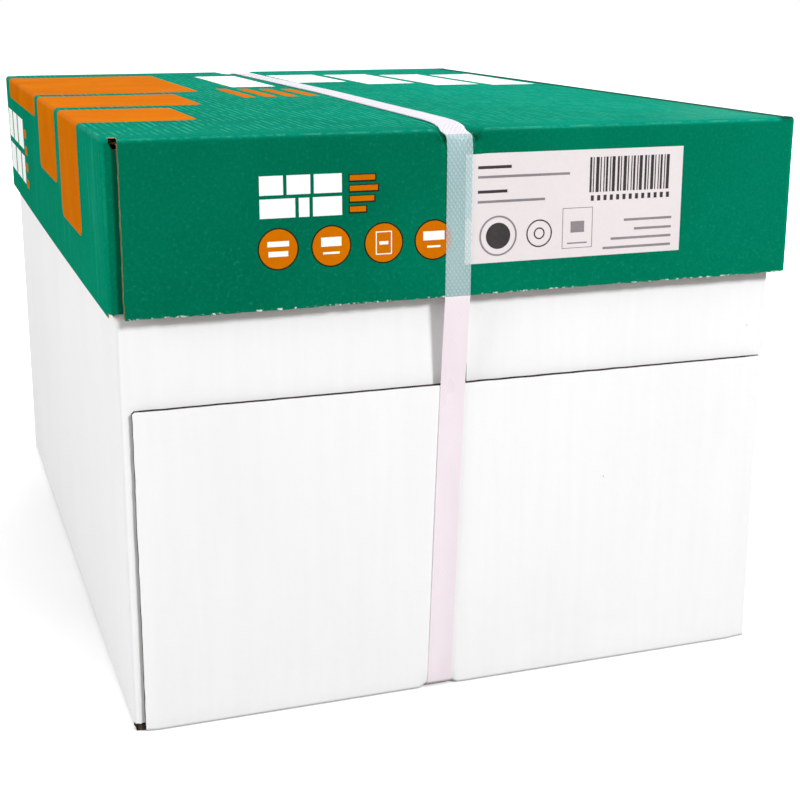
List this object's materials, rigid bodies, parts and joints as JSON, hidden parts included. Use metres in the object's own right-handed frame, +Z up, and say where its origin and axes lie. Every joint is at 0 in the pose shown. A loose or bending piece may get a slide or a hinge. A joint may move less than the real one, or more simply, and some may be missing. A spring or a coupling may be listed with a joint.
{
  "type": "strapped carton of paper reams",
  "caption": "Closed white corrugated tray under a deep green corrugated lid, held shut by a plastic strap over both ends, filled with a stack of wrapped reams of A3 copy paper.",
  "frame": {"origin": "middle of the underside, on the surface that the carton stands on", "axes": "+X along the ends to the right as seen from the front end, +Y from the front end to the back end, +Z up"},
  "size_m": [0.314, 0.445, 0.2586],
  "materials": {
    "white_board": "matt bleached liner",
    "green_board": "matt printed liner",
    "strap_plastic": "embossed milky polypropylene",
    "ream_wrap": "matt wrapping paper"
  },
  "bodies": {
    "root": {"tray": "white_board", "lid": "green_board", "strap": "strap_plastic", "ream_1": "ream_wrap", "ream_2": "ream_wrap", "ream_3": "ream_wrap", "ream_4": "ream_wrap", "ream_5": "ream_wrap"}
  },
  "joints": []
}
